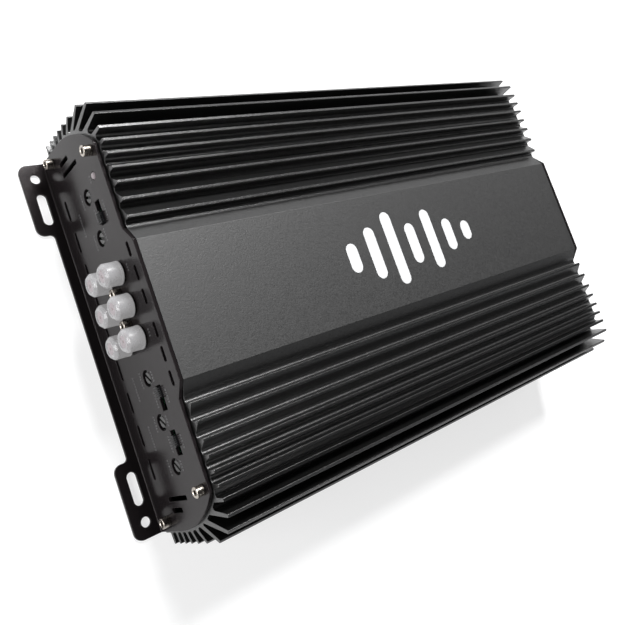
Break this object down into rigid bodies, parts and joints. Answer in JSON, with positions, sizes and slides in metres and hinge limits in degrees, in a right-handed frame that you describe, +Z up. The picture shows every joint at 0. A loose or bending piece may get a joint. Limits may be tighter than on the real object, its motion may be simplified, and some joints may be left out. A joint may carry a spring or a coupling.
{
  "type": "car amplifier",
  "caption": "Multi-channel car audio amplifier: finned extruded heatsink case with folded end plates, phono inputs and trimmer controls, wire terminals and blade fuses.",
  "frame": {"origin": "middle of the case on the surface that the mounting ears rest on", "axes": "+X along the extrusion from the input end to the output end, +Y to the left of the input end's controls, +Z up through the flat top of the heatsink"},
  "size_m": [0.3202, 0.1908, 0.0636],
  "materials": {
    "satin_black_aluminium": "sand-blasted satin black finish on aluminium",
    "powder_black_steel": "semi-gloss black powder coat",
    "nickel": "nickel plating",
    "circuit_board": "green solder resist",
    "black_plastic": "moulded black plastic",
    "grey_plastic": "moulded grey plastic",
    "milky_plastic": "milky translucent plastic",
    "fuse_plastic": "clear orange plastic",
    "copper_winding": "enamelled copper wire",
    "capacitor_sleeve": "shrunk plastic sleeve"
  },
  "bodies": {
    "case": {"heatsink": "satin_black_aluminium", "base_plate": "powder_black_steel", "main_board": "circuit_board", "input_end_plate": "powder_black_steel", "output_end_plate": "powder_black_steel", "input_upper_screw_1": "nickel", "input_upper_screw_2": "nickel", "input_lower_screw_1": "nickel", "input_lower_screw_2": "nickel", "output_upper_screw_1": "nickel", "output_upper_screw_2": "nickel", "output_lower_screw_1": "nickel", "output_lower_screw_2": "nickel", "control_board": "circuit_board", "rca_block": "black_plastic", "rca_screw_1": "nickel", "rca_screw_2": "nickel", "pot_body_1": "grey_plastic", "pot_body_2": "grey_plastic", "pot_body_3": "grey_plastic", "pot_body_4": "grey_plastic", "pot_body_5": "grey_plastic", "switch_body_1": "black_plastic", "switch_body_2": "black_plastic", "switch_body_3": "black_plastic", "power_led": "milky_plastic", "power_terminal_block": "black_plastic", "speaker_terminal_block": "black_plastic", "fuse_block": "black_plastic", "toroid": "copper_winding", "filter_capacitor": "capacitor_sleeve", "transistor_bank_1": "black_plastic", "transistor_bank_2": "black_plastic"},
    "pot_1": {"pot_shaft_1": "grey_plastic"},
    "pot_2": {"pot_shaft_2": "grey_plastic"},
    "pot_3": {"pot_shaft_3": "grey_plastic"},
    "pot_4": {"pot_shaft_4": "grey_plastic"},
    "pot_5": {"pot_shaft_5": "grey_plastic"},
    "switch_1": {"switch_knob_1": "black_plastic"},
    "switch_2": {"switch_knob_2": "black_plastic"},
    "switch_3": {"switch_knob_3": "black_plastic"},
    "rca_cap_1_upper_body": {"rca_cap_1_upper": "milky_plastic"},
    "rca_cap_1_lower_body": {"rca_cap_1_lower": "milky_plastic"},
    "rca_cap_2_upper_body": {"rca_cap_2_upper": "milky_plastic"},
    "rca_cap_2_lower_body": {"rca_cap_2_lower": "milky_plastic"},
    "rca_cap_3_upper_body": {"rca_cap_3_upper": "milky_plastic"},
    "rca_cap_3_lower_body": {"rca_cap_3_lower": "milky_plastic"},
    "fuse_1_body": {"fuse_1": "fuse_plastic"},
    "fuse_2_body": {"fuse_2": "fuse_plastic"},
    "power_clamp_1": {"power_clamp_screw_1": "nickel"},
    "power_clamp_2": {"power_clamp_screw_2": "nickel"},
    "power_clamp_3": {"power_clamp_screw_3": "nickel"},
    "speaker_clamp_1": {"speaker_clamp_screw_1": "nickel"},
    "speaker_clamp_2": {"speaker_clamp_screw_2": "nickel"},
    "speaker_clamp_3": {"speaker_clamp_screw_3": "nickel"},
    "speaker_clamp_4": {"speaker_clamp_screw_4": "nickel"},
    "speaker_clamp_5": {"speaker_clamp_screw_5": "nickel"},
    "speaker_clamp_6": {"speaker_clamp_screw_6": "nickel"},
    "speaker_clamp_7": {"speaker_clamp_screw_7": "nickel"},
    "speaker_clamp_8": {"speaker_clamp_screw_8": "nickel"}
  },
  "joints": [
    {"name": "pot_1_turn", "type": "hinge", "parent": "case", "child": "pot_1", "pos_m": [-0.1467, 0.058, 0.0363], "axis": [-1, 0, 0], "range_deg": [-115, 155]},
    {"name": "pot_2_turn", "type": "hinge", "parent": "case", "child": "pot_2", "pos_m": [-0.1467, 0.0392, 0.0363], "axis": [-1, 0, 0], "range_deg": [-115, 155]},
    {"name": "pot_3_turn", "type": "hinge", "parent": "case", "child": "pot_3", "pos_m": [-0.1467, -0.0235, 0.0363], "axis": [-1, 0, 0], "range_deg": [-90, 180]},
    {"name": "pot_4_turn", "type": "hinge", "parent": "case", "child": "pot_4", "pos_m": [-0.1467, -0.0427, 0.0363], "axis": [-1, 0, 0], "range_deg": [-95, 175]},
    {"name": "pot_5_turn", "type": "hinge", "parent": "case", "child": "pot_5", "pos_m": [-0.1467, -0.0618, 0.0363], "axis": [-1, 0, 0], "range_deg": [-90, 180]},
    {"name": "switch_1_slide", "type": "slide", "parent": "case", "child": "switch_1", "axis": [0, -1, 0], "range_m": [-0.0048, 0]},
    {"name": "switch_2_slide", "type": "slide", "parent": "case", "child": "switch_2", "axis": [0, -1, 0], "range_m": [0, 0.0048]},
    {"name": "switch_3_slide", "type": "slide", "parent": "case", "child": "switch_3", "axis": [0, -1, 0], "range_m": [-0.00165, 0.00315]},
    {"name": "rca_cap_1_upper_pull", "type": "slide", "parent": "case", "child": "rca_cap_1_upper_body", "axis": [-1, 0, 0], "range_m": [0, 0.01]},
    {"name": "rca_cap_1_lower_pull", "type": "slide", "parent": "case", "child": "rca_cap_1_lower_body", "axis": [-1, 0, 0], "range_m": [0, 0.01]},
    {"name": "rca_cap_2_upper_pull", "type": "slide", "parent": "case", "child": "rca_cap_2_upper_body", "axis": [-1, 0, 0], "range_m": [0, 0.01]},
    {"name": "rca_cap_2_lower_pull", "type": "slide", "parent": "case", "child": "rca_cap_2_lower_body", "axis": [-1, 0, 0], "range_m": [0, 0.01]},
    {"name": "rca_cap_3_upper_pull", "type": "slide", "parent": "case", "child": "rca_cap_3_upper_body", "axis": [-1, 0, 0], "range_m": [0, 0.01]},
    {"name": "rca_cap_3_lower_pull", "type": "slide", "parent": "case", "child": "rca_cap_3_lower_body", "axis": [-1, 0, 0], "range_m": [0, 0.01]},
    {"name": "fuse_1_pull", "type": "slide", "parent": "case", "child": "fuse_1_body", "axis": [1, 0, 0], "range_m": [0, 0.012]},
    {"name": "fuse_2_pull", "type": "slide", "parent": "case", "child": "fuse_2_body", "axis": [1, 0, 0], "range_m": [0, 0.012]},
    {"name": "power_clamp_1_turn", "type": "hinge", "parent": "case", "child": "power_clamp_1", "pos_m": [0.1525, 0.033, 0.04], "axis": [0, 0, 1], "continuous": true},
    {"name": "power_clamp_2_turn", "type": "hinge", "parent": "case", "child": "power_clamp_2", "pos_m": [0.1525, 0.048, 0.04], "axis": [0, 0, 1], "continuous": true},
    {"name": "power_clamp_3_turn", "type": "hinge", "parent": "case", "child": "power_clamp_3", "pos_m": [0.1525, 0.063, 0.04], "axis": [0, 0, 1], "continuous": true},
    {"name": "speaker_clamp_1_turn", "type": "hinge", "parent": "case", "child": "speaker_clamp_1", "pos_m": [0.1515, -0.0666, 0.037], "axis": [0, 0, 1], "continuous": true},
    {"name": "speaker_clamp_2_turn", "type": "hinge", "parent": "case", "child": "speaker_clamp_2", "pos_m": [0.1515, -0.059, 0.037], "axis": [0, 0, 1], "continuous": true},
    {"name": "speaker_clamp_3_turn", "type": "hinge", "parent": "case", "child": "speaker_clamp_3", "pos_m": [0.1515, -0.0514, 0.037], "axis": [0, 0, 1], "continuous": true},
    {"name": "speaker_clamp_4_turn", "type": "hinge", "parent": "case", "child": "speaker_clamp_4", "pos_m": [0.1515, -0.0438, 0.037], "axis": [0, 0, 1], "continuous": true},
    {"name": "speaker_clamp_5_turn", "type": "hinge", "parent": "case", "child": "speaker_clamp_5", "pos_m": [0.1515, -0.0362, 0.037], "axis": [0, 0, 1], "continuous": true},
    {"name": "speaker_clamp_6_turn", "type": "hinge", "parent": "case", "child": "speaker_clamp_6", "pos_m": [0.1515, -0.0286, 0.037], "axis": [0, 0, 1], "continuous": true},
    {"name": "speaker_clamp_7_turn", "type": "hinge", "parent": "case", "child": "speaker_clamp_7", "pos_m": [0.1515, -0.021, 0.037], "axis": [0, 0, 1], "continuous": true},
    {"name": "speaker_clamp_8_turn", "type": "hinge", "parent": "case", "child": "speaker_clamp_8", "pos_m": [0.1515, -0.0134, 0.037], "axis": [0, 0, 1], "continuous": true}
  ]
}
